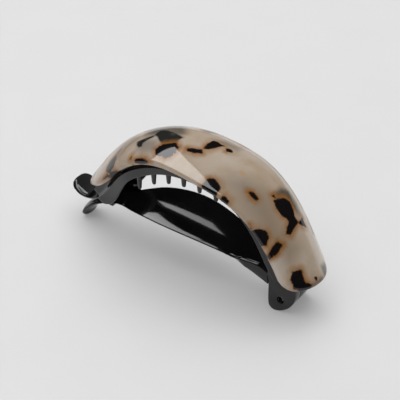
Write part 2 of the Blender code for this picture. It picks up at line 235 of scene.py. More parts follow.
# The black flakes as seen from outside, as outlines of (along, across) in mm: along the arch from
# the latch tip, and across it from the middle line, with the near side negative. The latch rim among
# them is painted shade, black along the near edge where it turns down under the cover.
FLAKES_AND_RIM_SHADE = {
    "latch_streak": (
        (19.4, -11), (20.6, -10.2), (21.8, -9.2), (24.2, -8.4), (26, -8.6), (26.4, -10), (26, -11.8),
        (22.4, -12.4)),
    "latch_speck": (
        (36.0, -11.8), (36.6, -11.2), (36.8, -11.7)),
    "near_wedge": (
        (39, -13.2), (39.3, -12.4), (41.8, -12.1), (44.3, -12.4), (46.6, -13.2), (48, -15), (39.6, -15)),
    "broad": (
        (46.7, -8.5), (47.1, -7.8), (48.1, -6.5), (49.9, -5.6), (52.2, -4.4), (54.1, -5.8), (54.3, -7.8),
        (53.6, -9.5), (52.2, -10.5), (50.4, -10.2), (48.5, -10.4), (47.6, -9.8)),
    "bar": (
        (56.8, -4.8), (59, -3.9), (61.3, -3), (62.2, -4.1), (59.9, -5.3), (57.6, -5.8)),
    "fin": (
        (61.6, -1.8), (61.2, 1.2), (61.4, 3.8), (63.1, 4.2), (65.4, 4), (64, 1.4), (63.2, -1.2)),
    "fin_tail": (
        (66.5, 3.4), (68.3, 4.1), (69.3, 3.1), (67.8, 2)),
    "rim_lump": (
        (69.6, -15), (70, -11.2), (71.4, -10), (73.5, -10.2), (75.3, -11.2), (76.5, -15)),
    "rim_small": (
        (77.6, -15), (78.2, -12.3), (80.8, -12.4), (81.2, -15)),
    "seed": (
        (83.2, -6.3), (84.2, -5.4), (86.9, -5.4), (86.8, -6.2), (84.6, -6.6)),
    "speck": (
        (89, -0.5), (89.4, 0.3), (90, -0.2)),
    "large": (
        (90.8, -1.2), (91.2, 1.2), (92.6, 3.8), (94.6, 4.4), (96.6, 3.8), (98.9, 2.2), (100.9, 2.4),
        (101.4, 0), (102.4, -3.2), (101.4, -4.4), (100, -3), (98.8, -1), (97.4, -1), (95.8, -2),
        (93.1, -2.2)),
    "large_tail": (
        (101.4, 2.9), (101.3, 6), (104.2, 5.2), (102.6, 3.6)),
    "near_round": (
        (94.2, -12.6), (94.6, -11), (96.4, -9.6), (99.2, -9.9), (100.6, -11.4), (99.6, -12.7), (97, -13)),
    "near_dot": (
        (91.6, -15), (92, -12.6), (93.2, -12.4), (93.6, -15)),
    "slug": (
        (101.9, -8.2), (103.5, -7.1), (104.8, -9.2), (105.3, -11.8), (104.2, -12.2), (102.6, -10)),
    "end_block": (
        (113.2, -8), (114, -5.6), (116.6, -5.9), (118.6, -6), (120.2, -4.4), (121, -5), (121, -7.4),
        (118.4, -9.2), (115, -9.2)),
    "end_dot": (
        (118.9, -2.4), (119.3, -1.4), (120, -2.2)),
    # Painted shade rather than a flake: black along the near edge by the latch tip, where the edge turns
    # down into shade.
    "latch_rim_shade": (
        (8, -15), (9, -12.1), (15, -12.1), (22, -12.6), (25, -15)),
    "back_long": (
        (7, 3), (11, 6.4), (16.5, 5.6), (19, 8), (15, 10.4), (9, 8.6)),
    "back_round": (
        (22, 1), (26, -0.4), (30, 2.4), (29, 6), (24, 5)),
    "back_speck": (
        (13.6, -3), (16, -4.6), (17.4, -2.6), (15.4, -1.6)),
    "back_rim": (
        (34, 6), (39, 5), (43, 8), (46, 12), (45, 15), (38, 15), (36, 10)),
    "back_corner": (
        (25, 15), (27.5, 11), (31, 12), (32, 15)),
    "back_mid": (
        (52, 9), (56, 8.4), (58, 11), (54.6, 12)),
    "back_edge": (
        (64, 15), (65, 12.4), (69, 12), (71, 15)),
    "back_end": (
        (104, 11), (108, 9.4), (110, 12.4), (108, 15), (104.6, 15)),
    "back_tip": (
        (3, -4), (6, -5.6), (8, -3), (5, -1.4)),
}

# Soft grey clouds deeper in the sheet, and painted shade laid the same way: how dense each is, how far
# its edge fades in mm, and its outline.
CLOUDS_AND_SHADE = {
    "sunken_fin": (0.985, 0.6, (
        (41.3, -2.5), (41.8, 0.8), (44.5, 1.4), (47.5, 0.8), (50.4, -0.2), (52.8, -0.9), (52, -3),
        (52.6, -5), (50.4, -6), (48.1, -6.4), (45.7, -5.2), (43.6, -3.4))),
    "fin_line": (0.985, 0.5, (
        (47.6, -2.6), (49.2, -1.4), (52.2, -1.2), (51.4, -3), (52, -4.8), (50.4, -4.8), (49.8, -3.4))),
    "hook": (0.96, 0.5, (
        (41.6, -2.4), (39.3, -3.6), (37.3, -4.7), (35.7, -5.5), (36.6, -7.2), (38.3, -8.3), (39.8, -8),
        (39.3, -6.5), (40.3, -5.3), (41.3, -4.4), (42.3, -3.2))),
    "over_broad": (0.7, 2.2, (
        (34, 1.5), (35.5, 6), (40, 9), (46, 8), (50, 4.4), (52, 1.5), (49, -3), (44, -2.6), (40, -3),
        (37, -2.2))),
    "under_hook": (0.42, 2.0, (
        (36.4, -5.6), (40, -4.6), (44.8, -5), (47, -8), (45.6, -9.6), (41, -10.4), (37.6, -9))),
    "latch_line": (0.85, 0.6, (
        (22.6, -9.4), (25, -7.2), (27.2, -5.2), (28.6, -6.4), (27, -8.8), (24.6, -10))),
    "latch_haze": (0.55, 2.2, (
        (23.5, -10.5), (24.6, -6.6), (28, -2.4), (32.6, -0.6), (34.6, -2.6), (31, -6.6), (28.4, -10.2))),
    # Partly the sheet's own greenish streak and partly painted shade, darker along the far edge, which
    # turns away from the light.
    "far_streak_and_shade": (0.5, 1.3, (
        (58, 9.4), (64, 10.6), (76, 11.4), (90, 11), (100, 10.6), (100, 12), (80, 12.8), (60, 11.6))),
    "by_fin": (0.45, 1.6, (
        (60, 5), (64, 7.6), (70, 8), (70, 5), (64, 4.6))),
    # Painted shade over the middle of the near half, which faces away from the light behind the clip.
    "near_half_shade": (0.34, 5.0, (
        (74, -9), (78, -3), (88, 0), (98, -4), (108, -3), (110, -8), (100, -10), (88, -11))),
    "seed_halo": (0.3, 1.0, (
        (82.6, -7), (83, -5), (87.5, -4.6), (87.8, -6.4))),
    "large_smudge": (0.74, 1.5, (
        (88.5, -0.6), (89, 5.4), (91.5, 8.6), (96, 8), (101, 6.6), (100.6, 5), (97, 4.4), (93, 3),
        (91, 0))),
    # Painted shade at the hinge end, where the cover turns down away from the light: at its far corner
    # and along its rim.
    "end_shade": (0.75, 1.3, (
        (117.6, 2.6), (117.8, 5.6), (119, 7.6), (123, 7.4), (123, 1))),
    "end_rim_shade": (0.8, 0.8, (
        (120.4, -9.4), (120, -4), (120.4, 1), (123, 1.4), (123, -9.4))),
    "back_haze": (0.4, 2.4, (
        (10, -1), (18, 2), (24, 8), (30, 9), (26, 3), (16, -3))),
}

# Paler swells, given the same way: partly the sheet's milky tone and partly painted light. The far band
# and the crown are painted lighter where they face the light from above and behind, and the near edge at
# the hinge end carries a painted highlight.
MILK_AND_LIGHT_ZONES = {
    "end_near_highlight": (0.8, 3.0, (
        (103, -13.6), (105, -9.8), (111, -9.6), (116, -11), (118.5, -12), (117, -14), (110, -14))),
    "far_band_light": (0.65, 3.0, (
        (66, 5), (75, 6.5), (86, 8), (96, 8.5), (103, 3), (112, 2), (119, 0), (120, 6), (112, 12),
        (90, 12.5), (70, 12))),
    "crown": (0.6, 3.0, (
        (50, 4), (56, 8), (64, 10), (70, 9), (66, 5.5), (58, 5))),
}

# Clear yellow spots without a flake: along, across and radius.
AMBER_SPOTS = {"near": (36.3, -11.4, 0.35), "crown": (77.3, -2.5, 0.3), "tip": (30.5, -8.2, 0.2)}


def outline_distance(points, outline):
    """Signed distance from each point to a closed outline, negative inside it."""
    corners = np.array(outline, dtype=float)
    ends = np.roll(corners, -1, axis=0)
    nearest = np.full(len(points), 1e9)
    inside = np.zeros(len(points), dtype=bool)
    for a, b in zip(corners, ends):
        run = b - a
        share = np.clip(((points - a) @ run) / (run @ run), 0.0, 1.0)
        nearest = np.minimum(nearest, np.hypot(*(points - a - share[:, None] * run).T))
        crosses = (a[1] > points[:, 1]) != (b[1] > points[:, 1])
        height = run[1] if run[1] else 1e-9
        inside ^= crosses & (points[:, 0] < a[0] + run[0] * (points[:, 1] - a[1]) / height)
    return np.where(inside, -nearest, nearest)


def nearest_outline(points, outlines):
    """The distance from each point to the nearest of the outlines."""
    return np.min([outline_distance(points, outline) for outline in outlines.values()], axis=0)


def zone_share(points, zones):
    """How dense the thickest of the zones over each point is, from 0 to 1."""
    shares = []
    for density, fade, outline in zones.values():
        share = np.clip(0.5 - outline_distance(points, outline) / (2 * fade), 0.0, 1.0)
        shares.append(density * share * share * (3 - 2 * share))
    return np.max(shares, axis=0)


def add_values(mesh, name, values):
    """Stores one value for each corner of a mesh, for its material to read."""
    layer = mesh.attributes.new(name, "FLOAT", "POINT")
    layer.data.foreach_set("value", np.asarray(values, dtype=np.float32))


# Each corner of the mesh gets its distance along the arch from the nearest point of the spine. The
# corners are taken in lots, which keeps the memory small.
LOT = 4000

cover_mesh = rounded_plate("cover_sheet", COVER_CELLS, COVER_ROUND, place_cover, inner_radius=UNDER_ROUND)
cover_corners = np.zeros(len(cover_mesh.vertices) * 3)
cover_mesh.vertices.foreach_get("co", cover_corners)
cover_corners = cover_corners.reshape(-1, 3) / MM
spine = np.column_stack([arch_x(arch_steps) - MIDDLE_X, arch_z(arch_steps)])
along_cover = np.empty(len(cover_corners))
for first in range(0, len(cover_corners), LOT):
    lot = cover_corners[first:first + LOT]
    to_spine = np.hypot(lot[:, None, 0] - spine[None, :, 0], lot[:, None, 2] - spine[None, :, 1])
    along_cover[first:first + LOT] = arch_length[to_spine.argmin(axis=1)]
cover_points = np.column_stack([along_cover, cover_corners[:, 1]])
add_values(cover_mesh, "flake_and_shade_distance", nearest_outline(cover_points, FLAKES_AND_RIM_SHADE))
add_values(cover_mesh, "cloud_and_shade_share", zone_share(cover_points, CLOUDS_AND_SHADE))
add_values(cover_mesh, "milk_and_light_share", zone_share(cover_points, MILK_AND_LIGHT_ZONES))
spots = [np.hypot(along_cover - a, cover_corners[:, 1] - y) - r for a, y, r in AMBER_SPOTS.values()]
add_values(cover_mesh, "amber_distance", np.min(spots, axis=0))


def new_material(name):
    """A material, its node tree and its shader."""
    material = bpy.data.materials.new(name)
    material.use_nodes = True
    return material, material.node_tree, material.node_tree.nodes["Principled BSDF"]


def add_node(tree, kind, **settings):
    """Adds a node. A setting named in_N sets its input N, and any other sets the node's own field."""
    node = tree.nodes.new(kind)
    for key, value in settings.items():
        if key.startswith("in_"):
            node.inputs[int(key[3:])].default_value = value
        else:
            setattr(node, key, value)
    return node


def group_with(name, inputs, outputs):
    """An empty shader node group with named inputs of (name, kind, value) and named outputs."""
    tree = bpy.data.node_groups.new(name, "ShaderNodeTree")
    for label, kind, value in inputs:
        socket = tree.interface.new_socket(name=label, in_out="INPUT", socket_type=kind)
        if value is not None:
            socket.default_value = value
    for label, kind in outputs:
        tree.interface.new_socket(name=label, in_out="OUTPUT", socket_type=kind)
    return tree, tree.nodes.new("NodeGroupInput"), tree.nodes.new("NodeGroupOutput")


def map_range(tree, value, low, high, to_low=0.0, to_high=1.0, kind="LINEAR"):
    """Takes low to to_low and high to to_high, and holds what lies beyond them there."""
    node = add_node(tree, "ShaderNodeMapRange", interpolation_type=kind,
                    in_1=low, in_2=high, in_3=to_low, in_4=to_high)
    tree.links.new(value, node.inputs[0])
    return node.outputs[0]


def ramp_down(tree, value, full, none):
    """One where the value is at full, falling smoothly to nothing where it is at none."""
    return map_range(tree, value, full, none, 1.0, 0.0, "SMOOTHSTEP")


def raw_noise(tree, place, scale, detail, roughness):
    """A noise texture's own value, around a half."""
    field = add_node(tree, "ShaderNodeTexNoise", in_2=scale, in_3=detail, in_4=roughness)
    tree.links.new(place, field.inputs["Vector"])
    return field.outputs["Fac"]


def noise(tree, place, scale, detail, roughness=0.55, spread=0.25):
    """A noise value around zero, from -1 to 1. A smaller spread makes it stronger."""
    field = raw_noise(tree, place, scale, detail, roughness)
    return map_range(tree, field, 0.5 - spread, 0.5 + spread, -1.0, 1.0)


def math_node(tree, operation, a, b, clamp=False):
    """A sum or product of two values. Either may be a number or a socket."""
    node = add_node(tree, "ShaderNodeMath", operation=operation, use_clamp=clamp)
    for socket, value in zip(node.inputs, (a, b)):
        if isinstance(value, (int, float)):
            socket.default_value = value
        else:
            tree.links.new(value, socket)
    return node.outputs[0]


def blend_colour(tree, share, under, over):
    """Mixes two colours. Either may be an (r, g, b) or a socket."""
    node = add_node(tree, "ShaderNodeMix", data_type="RGBA")
    tree.links.new(share, node.inputs["Factor"])
    for label, value in ((6, under), (7, over)):
        if isinstance(value, tuple):
            node.inputs[label].default_value = (*value, 1.0)
        else:
            tree.links.new(value, node.inputs[label])
    return node.outputs[2]


def attribute(tree, name):
    """The values that the mesh stores under a name."""
    return add_node(tree, "ShaderNodeAttribute", attribute_name=name).outputs["Fac"]


# Handled surface: soft smears and fine hairline marks that every polished or moulded face picks up.
# The hairlines are the peaks of a noise that is drawn out along one direction.
HAIR_SCALE = (300.0, 4200.0, 2600.0)
HAIR_TURN = (0.3, 0.2, 0.5)
HAIR_PEAKS = (0.66, 0.74)

handled, handled_in, handled_out = group_with(
    "handled_surface",
    (("Position", "NodeSocketVector", None), ("Roughness", "NodeSocketFloat", 0.1),
     ("Smears", "NodeSocketFloat", 0.05), ("Hairlines", "NodeSocketFloat", 0.1)),
    (("Roughness", "NodeSocketFloat"),))
smear = noise(handled, handled_in.outputs["Position"], scale=70.0, detail=4.0, roughness=0.6, spread=0.2)
smear = math_node(handled, "MULTIPLY", smear, handled_in.outputs["Smears"])
hair_place = add_node(handled, "ShaderNodeMapping")
hair_place.inputs["Scale"].default_value = HAIR_SCALE
hair_place.inputs["Rotation"].default_value = HAIR_TURN
handled.links.new(handled_in.outputs["Position"], hair_place.inputs["Vector"])
hair = raw_noise(handled, hair_place.outputs["Vector"], scale=1.0, detail=2.0, roughness=0.4)
hair = map_range(handled, hair, *HAIR_PEAKS)
hair = math_node(handled, "MULTIPLY", hair, handled_in.outputs["Hairlines"])
worn = math_node(handled, "ADD", smear, handled_in.outputs["Roughness"])
worn = math_node(handled, "ADD", worn, hair, clamp=True)
handled.links.new(worn, handled_out.inputs["Roughness"])


def add_wear(tree, shader, place, roughness, smears, hairlines):
    """Gives a material the handled surface."""
    wear = add_node(tree, "ShaderNodeGroup", node_tree=handled)
    wear.inputs["Roughness"].default_value = roughness
    wear.inputs["Smears"].default_value = smears
    wear.inputs["Hairlines"].default_value = hairlines
    tree.links.new(place, wear.inputs["Position"])
    tree.links.new(wear.outputs["Roughness"], shader.inputs["Roughness"])


# Swollen surface: the faces rise and fall by a hair, as sheet does once it has been bent and plastic
# once it has cooled.
SWELL_STRENGTH = 0.05
SWELL_DEPTH = 0.0002

swollen, swollen_in, swollen_out = group_with(
    "swollen_surface",
    (("Position", "NodeSocketVector", None), ("Scale", "NodeSocketFloat", 60.0)),
    (("Height", "NodeSocketFloat"),))
swell_place = add_node(swollen, "ShaderNodeVectorMath", operation="SCALE")
swollen.links.new(swollen_in.outputs["Position"], swell_place.inputs[0])
swollen.links.new(swollen_in.outputs["Scale"], swell_place.inputs["Scale"])
swell_height = noise(swollen, swell_place.outputs["Vector"], scale=1.0, detail=1.0)
swollen.links.new(swell_height, swollen_out.inputs["Height"])


def add_swell(tree, shader, place, scale):
    """Gives a material the swollen surface. A larger scale makes the swells smaller."""
    swell = add_node(tree, "ShaderNodeGroup", node_tree=swollen)
    swell.inputs["Scale"].default_value = scale
    tree.links.new(place, swell.inputs["Position"])
    bump = add_node(tree, "ShaderNodeBump", in_0=SWELL_STRENGTH)
    bump.inputs["Distance"].default_value = SWELL_DEPTH
    tree.links.new(swell.outputs["Height"], bump.inputs["Height"])
    tree.links.new(bump.outputs["Normal"], shader.inputs["Normal"])


# The sheet's colours, as linear red, green and blue.
CREAM = (0.462, 0.357, 0.260)
PALE = (0.530, 0.450, 0.375)
# The palest cream: the sheet's milky tone, also used for painted light and a painted highlight.
MILK_AND_LIGHT = (0.600, 0.525, 0.450)
TAN = (0.370, 0.268, 0.172)
AMBER = (0.500, 0.300, 0.090)
HONEY = (0.300, 0.130, 0.032)
BROWN = (0.080, 0.035, 0.018)
# The black of the flakes, also used for the painted shade along the latch rim.
FLAKE_AND_SHADE_BLACK = (0.008, 0.007, 0.007)
# The grey of the clouds, also used for the painted shade laid with them.
CLOUD_AND_SHADE = (0.024, 0.025, 0.023)
# How strongly its parts show, and how far noise moves the edges of flakes and spots, in mm.
TAN_SHARE = 0.45
HALO_SHARE = 1.1
AMBER_SHARE = 0.6
CLOUD_AND_SHADE_SWELL = 0.3
FLAKE_WOBBLE = 0.32
FLAKE_GRAIN = 0.10
AMBER_WOBBLE = 0.2

acetate, tree, shader = new_material("tortoise_acetate")
place = add_node(tree, "ShaderNodeTexCoord").outputs["Object"]
wide_drift = noise(tree, place, scale=45.0, detail=2.0)
soft_drift = noise(tree, place, scale=130.0, detail=3.0)
edge_wobble = noise(tree, place, scale=420.0, detail=3.0)
edge_grain = noise(tree, place, scale=1700.0, detail=2.0, roughness=0.5)

# The cream of the sheet drifts between three tones, and is paler in places: partly its milky tone and
# partly painted light.
body = blend_colour(tree, ramp_down(tree, wide_drift, full=0.8, none=-0.6), CREAM, PALE)
tan = math_node(tree, "MULTIPLY", ramp_down(tree, soft_drift, full=-0.9, none=0.5), TAN_SHARE)
body = blend_colour(tree, tan, body, TAN)
body = blend_colour(tree, attribute(tree, "milk_and_light_share"), body, MILK_AND_LIGHT)

# The clouds lie deeper, so they are soft and uneven, and the painted shade laid with them is uneven
# the same way.
cloud_and_shade_swell = math_node(tree, "ADD", math_node(tree, "MULTIPLY", soft_drift, CLOUD_AND_SHADE_SWELL), 1.0)
cloud_and_shade = math_node(tree, "MULTIPLY", attribute(tree, "cloud_and_shade_share"), cloud_and_shade_swell, clamp=True)
body = blend_colour(tree, cloud_and_shade, body, CLOUD_AND_SHADE)

# A flake is black with a thin brown rim, and honey bleeds unevenly into the cream around it. The
# painted shade along the latch rim gets the same rim and bleed.
flake_and_shade = attribute(tree, "flake_and_shade_distance")
flake_and_shade = math_node(tree, "ADD", flake_and_shade, math_node(tree, "MULTIPLY", edge_wobble, FLAKE_WOBBLE))
flake_and_shade = math_node(tree, "ADD", flake_and_shade, math_node(tree, "MULTIPLY", edge_grain, FLAKE_GRAIN))
halo_reach = ramp_down(tree, flake_and_shade, full=-0.2, none=2.8)
halo = math_node(tree, "MULTIPLY", halo_reach, ramp_down(tree, soft_drift, full=0.7, none=-1.3))
halo = math_node(tree, "MULTIPLY", halo, HALO_SHARE, clamp=True)
body = blend_colour(tree, halo, body, HONEY)
amber = attribute(tree, "amber_distance")
amber = math_node(tree, "ADD", amber, math_node(tree, "MULTIPLY", edge_wobble, AMBER_WOBBLE))
amber = math_node(tree, "MULTIPLY", ramp_down(tree, amber, full=0.0, none=1.1), AMBER_SHARE)
body = blend_colour(tree, amber, body, AMBER)
body = blend_colour(tree, ramp_down(tree, flake_and_shade, full=-0.02, none=0.48), body, BROWN)
body = blend_colour(tree, ramp_down(tree, flake_and_shade, full=-0.15, none=0.22), body, FLAKE_AND_SHADE_BLACK)
tree.links.new(body, shader.inputs["Base Color"])
add_wear(tree, shader, place, roughness=0.055, smears=0.015, hairlines=0.10)
add_swell(tree, shader, place, scale=60.0)

finish_piece("cover_sheet", cover_mesh, acetate, "upper", ("cover",), sharp=60)


# Upper frame
# The black arch under the cover that carries it. It is injection-moulded in glossy plastic: a thin
# crowned web with a rail down each side, and the cover is bonded to the top of the web.

# Sections of the arch's U by station: half its width and the depth of its rails, in mm.
RAILS = (
    (0.000, 7.5, 11.1),
    (0.025, 7.7, 12.7),
    (0.080, 8.7, 13.2),
    (0.160, 10.4, 11.9),
    (0.250, 10.9, 11.4),
    (0.350, 11.1, 10.0),
    (0.450, 11.3, 8.2),
    (0.550, 11.2, 7.3),
    (0.650, 10.7, 7.6),
    (0.760, 10.0, 8.6),
    (0.860, 8.7, 11.0),
    (0.940, 7.3, 13.2),
    (0.985, 6.7, 13.6),
)
WEB_TOP = COVER_THICKNESS + GAP
WEB_THICKNESS = 1.5
RAIL_THICKNESS = 1.8
# Shares of the half section at which the web, the recess's wall and its ledge end.
WEB_SHARE = 0.5
LEDGE_SHARE = 0.68
FACE_SHARE = 0.76
# Shares of the drop from the shoulder to the foot that the wall, the ledge and the face below take.
WALL_DROP = 0.35
LEDGE_DROP = 0.15
FACE_DROP = 0.5
# The recess under the cover's edge is full up to the first station and gone at the second.
RECESS = 1.3
RECESS_SPAN = (0.45, 0.75)
# The rails end at the latch in a cheek: its station, its height and its corner's radius in mm.
CHEEK_START = 0.006
CHEEK_HEIGHT = 8.0
CHEEK_CORNER = 1.9
MOULD_ROUND = 0.4
MOULD_TURNS = 3
RAIL_CELLS = (200, 60)

frame_half, rail_depth = curves_of(RAILS)


def crown(station, y):
    """How far the cover's underside lies below its own middle line at y."""
    return edge_drop(station) * (y / (cover_half(station) - EDGE_LEAN)) ** 2


def place_rails(share, side, level, grow, sink):
    """The frame's web and rails as one bent sheet: web, recess wall, ledge and face from the middle."""
    size = np.abs(side)
    on_web = np.clip(size / WEB_SHARE, 0.0, 1.0)
    on_wall = np.clip((size - WEB_SHARE) / (LEDGE_SHARE - WEB_SHARE), 0.0, 1.0)
    on_ledge = np.clip((size - LEDGE_SHARE) / (FACE_SHARE - LEDGE_SHARE), 0.0, 1.0)
    on_face = np.clip((size - FACE_SHARE) / (1 - FACE_SHARE), 0.0, 1.0)
    down = np.clip((size - WEB_SHARE) / (1 - WEB_SHARE), 0.0, 1.0)
    cheek = CHEEK_START + corner_back(down, CHEEK_HEIGHT, CHEEK_CORNER) / ARCH_RUN
    first = cheek - grow / ARCH_RUN
    last = RAILS[-1][0] + grow / ARCH_RUN
    station = first + share * (last - first)
    outer_half = frame_half(station)
    recess = RECESS * np.interp(station, RECESS_SPAN, (1.0, 0.0)) * (level < 0.5)
    half = outer_half - level * RAIL_THICKNESS
    top = WEB_TOP + level * WEB_THICKNESS
    y = on_web * (half - recess) + on_ledge * recess
    shoulder = top + crown(station, on_web * (half - recess))
    bottom = rail_depth(station) + grow
    drop = WALL_DROP * on_wall + LEDGE_DROP * on_ledge + FACE_DROP * on_face
    depth = shoulder + drop * (bottom - shoulder) + np.where(down > 0, 0.0, sink)
    y = y - np.where(down > 0, sink, 0.0)
    return on_arch(station, np.sign(side) * y, depth)


BLACK_DEEP = (0.0036, 0.0036, 0.0038)
BLACK_WORN = (0.0056, 0.0056, 0.0058)

black, tree, shader = new_material("black_plastic")
place = add_node(tree, "ShaderNodeTexCoord").outputs["Object"]
shade_drift = noise(tree, place, scale=55.0, detail=2.0)
tone = blend_colour(tree, ramp_down(tree, shade_drift, full=1.0, none=-1.0), BLACK_DEEP, BLACK_WORN)
tree.links.new(tone, shader.inputs["Base Color"])
add_wear(tree, shader, place, roughness=0.075, smears=0.02, hairlines=0.12)
add_swell(tree, shader, place, scale=90.0)

rails_mesh = rounded_plate("frame_rails", RAIL_CELLS, MOULD_ROUND, place_rails, turns=MOULD_TURNS)
finish_piece("frame_rails", rails_mesh, black, "upper", ("upper_frame",))


# Teeth
# Two rows of six straight pegs under the rails that comb into the hair and keep the clip from
# sliding. They are moulded in one with the rails, with a flared root and a rounded tip.

TOOTH_FIRST_X = -18.1
TOOTH_PITCH = 6.22
TOOTH_LENGTHS = (4.8, 4.0, 3.6, 3.2, 2.9, 2.6)
# Radius of a tooth in mm, and the share of its length from the rail to the tip.
TOOTH_PROFILE = ((1.2, -0.18), (1.05, 0.0), (0.96, 0.12), (0.84, 0.5), (0.73, 0.84), (0.56, 0.95),
                 (0.3, 0.99), (0.0, 1.0))
TOOTH_FLAT = 0.8
TOOTH_SIDES = 20
TOOTH_JOIN = 0.01
FEET_END = 0.98
FEET_SAMPLES = 400

# The rails' feet tell where each tooth starts. A tagged corner belongs to a tooth already in place.
rail_stations = np.linspace(0.0, FEET_END, FEET_SAMPLES)
rail_feet = on_arch(rail_stations, 0 * rail_stations, rail_depth(rail_stations)) / MM
teeth = bmesh.new()
for number, length in enumerate(TOOTH_LENGTHS):
    x = TOOTH_FIRST_X + number * TOOTH_PITCH
    nearest = int(np.abs(rail_feet[:, 0] + MIDDLE_X - x).argmin())
    middle = float(frame_half(rail_stations[nearest])) - RAIL_THICKNESS / 2
    for side in (-1, 1):
        profile = [teeth.verts.new((radius, 0.0, -share * length)) for radius, share in TOOTH_PROFILE]
        edges = [teeth.edges.new(pair) for pair in zip(profile, profile[1:])]
        bmesh.ops.spin(teeth, geom=profile + edges, cent=(0, 0, 0), axis=(0, 0, 1), dvec=(0, 0, 0),
                       angle=math.tau, steps=TOOTH_SIDES, use_merge=True, use_duplicate=False)
        verts = [v for v in teeth.verts if not v.tag]
        bmesh.ops.scale(teeth, verts=verts, vec=(1.0, TOOTH_FLAT, 1.0))
        bmesh.ops.translate(teeth, verts=verts, vec=(x - MIDDLE_X, side * middle, rail_feet[nearest, 2]))
        for vert in verts:
            vert.tag = True
bmesh.ops.scale(teeth, verts=teeth.verts, vec=(MM, MM, MM))
bmesh.ops.remove_doubles(teeth, verts=teeth.verts, dist=TOOTH_JOIN * MM)
bmesh.ops.holes_fill(teeth, edges=teeth.edges, sides=TOOTH_SIDES)
finish_piece("frame_teeth", mesh_of("frame_teeth", teeth), black, "upper")


# Hinge ears
# The pair of ears under the frame's end that hold the pin, and the wall that ties them together.
# They are moulded with the frame, and the clip stands on their feet.

PIN_X = 36.7
PIN_Z = 5.0
PIN_HOLE = 1.35
EAR_OUTER = 7.0
EAR_THICKNESS = 2.6
EAR_OUTLINE = (
    (31.4, 14.5), (31.9, 11.0), (32.0, 5.4), (32.2, 2.0), (32.7, 0.9), (33.5, 0.25), (34.6, 0.0),
    (36.0, 0.35), (37.4, 1.05), (39.4, 2.6), (41.1, 4.8), (42.0, 7.0), (42.3, 9.0), (42.2, 11.0),
    (41.5, 13.6), (36.0, 18.0),
)
EAR_STEPS = 4
EAR_ROUND = 0.35
HOLE_STEPS = 32
# Edges that turn by more than this are rounded, in so many steps.
RIM_ANGLE = math.radians(60)
RIM_STEPS = 3


def flat_piece(bm, outline, low, high, radius, hole=None):
    """Adds a plate across Y from an outline of (x, z) points, with a round hole, its edges rounded."""
    loops = [[bm.verts.new((x, low, z)) for x, z in outline]]
    if hole:
        x, z, hole_radius = hole
        turns = [math.tau * i / HOLE_STEPS for i in range(HOLE_STEPS)]
        ring = [(x + hole_radius * math.cos(t), low, z + hole_radius * math.sin(t)) for t in turns]
        loops.append([bm.verts.new(point) for point in ring])
    edges = [bm.edges.new(pair) for loop in loops for pair in zip(loop, loop[1:] + loop[:1])]
    filled = bmesh.ops.triangle_fill(bm, edges=edges, use_beauty=True, use_dissolve=False,
                                     normal=(0, 1, 0))
    faces = [item for item in filled["geom"] if isinstance(item, bmesh.types.BMFace)]
    outer = bmesh.ops.extrude_face_region(bm, geom=faces, use_keep_orig=True)
    moved = [v for v in outer["geom"] if isinstance(v, bmesh.types.BMVert)]
    bmesh.ops.translate(bm, verts=moved, vec=(0, high - low, 0))
    plate_faces = list({f for v in moved + sum(loops, []) for f in v.link_faces})
    bmesh.ops.recalc_face_normals(bm, faces=plate_faces)
    rim = [e for e in {e for f in plate_faces for e in f.edges}
           if len(e.link_faces) == 2 and e.calc_face_angle(0.0) > RIM_ANGLE
           and abs(e.verts[0].co.y - e.verts[1].co.y) < 1e-6]
    bmesh.ops.bevel(bm, geom=rim, affect="EDGES", offset=radius, segments=RIM_STEPS, profile=0.5,
                    material=-1, clamp_overlap=True)


def closed_curve(outline, steps):
    """A smooth closed outline through the points, with the given number of steps to each."""
    points = np.array(outline)
    count = len(points)
    out = []
    for i in range(count):
        a, b, c, d = (points[(i + k) % count] for k in (-1, 0, 1, 2))
        for j in range(steps):
            t = j / steps
            out.append(0.5 * (2 * b + (c - a) * t + (2 * a - 5 * b + 4 * c - d) * t ** 2
                              + (3 * b - a - 3 * c + d) * t ** 3))
    return [tuple(p) for p in out]


def mesh_from_mm(name, bm):
    """Turns a bmesh that is modelled in the tables' mm into a mesh."""
    bmesh.ops.translate(bm, verts=bm.verts, vec=(-MIDDLE_X, 0, 0))
    bmesh.ops.scale(bm, verts=bm.verts, vec=(MM, MM, MM))
    return mesh_of(name, bm)


ears = bmesh.new()
for low, high in ((-EAR_OUTER, EAR_THICKNESS - EAR_OUTER), (EAR_OUTER - EAR_THICKNESS, EAR_OUTER)):
    flat_piece(ears, closed_curve(EAR_OUTLINE, EAR_STEPS), low, high, EAR_ROUND,
               (PIN_X, PIN_Z, PIN_HOLE))
finish_piece("hinge_ears", mesh_from_mm("hinge_ears", ears), black, "upper")

# The wall between the ears: its stations on the arch, and how deep it goes, in mm.
END_WALL = (0.955, 0.985)
END_WALL_BOTTOM = 8.0
END_WALL_INSET = 0.6
END_WALL_SINK = 0.5
END_WALL_ROUND = 0.3
END_WALL_CELLS = (8, 20)


def place_end_wall(share, side, level, grow, sink):
    """The wall, standing under the web and set a little into it."""
    station = END_WALL[0] + level * (END_WALL[1] - END_WALL[0])
    y = side * (frame_half(station) - END_WALL_INSET)
    top = WEB_TOP + END_WALL_SINK + crown(station, y)
    return on_arch(station, y, top + share * (END_WALL_BOTTOM + grow - top))


wall_mesh = rounded_plate("end_wall", END_WALL_CELLS, END_WALL_ROUND, place_end_wall, turns=2)
finish_piece("end_wall", wall_mesh, black, "upper")


# Finger tabs
# The two tongues that are pressed together to open the clip, one on each arm. Each is moulded in
# one with its arm, crowned on both faces and rounded at its tip.

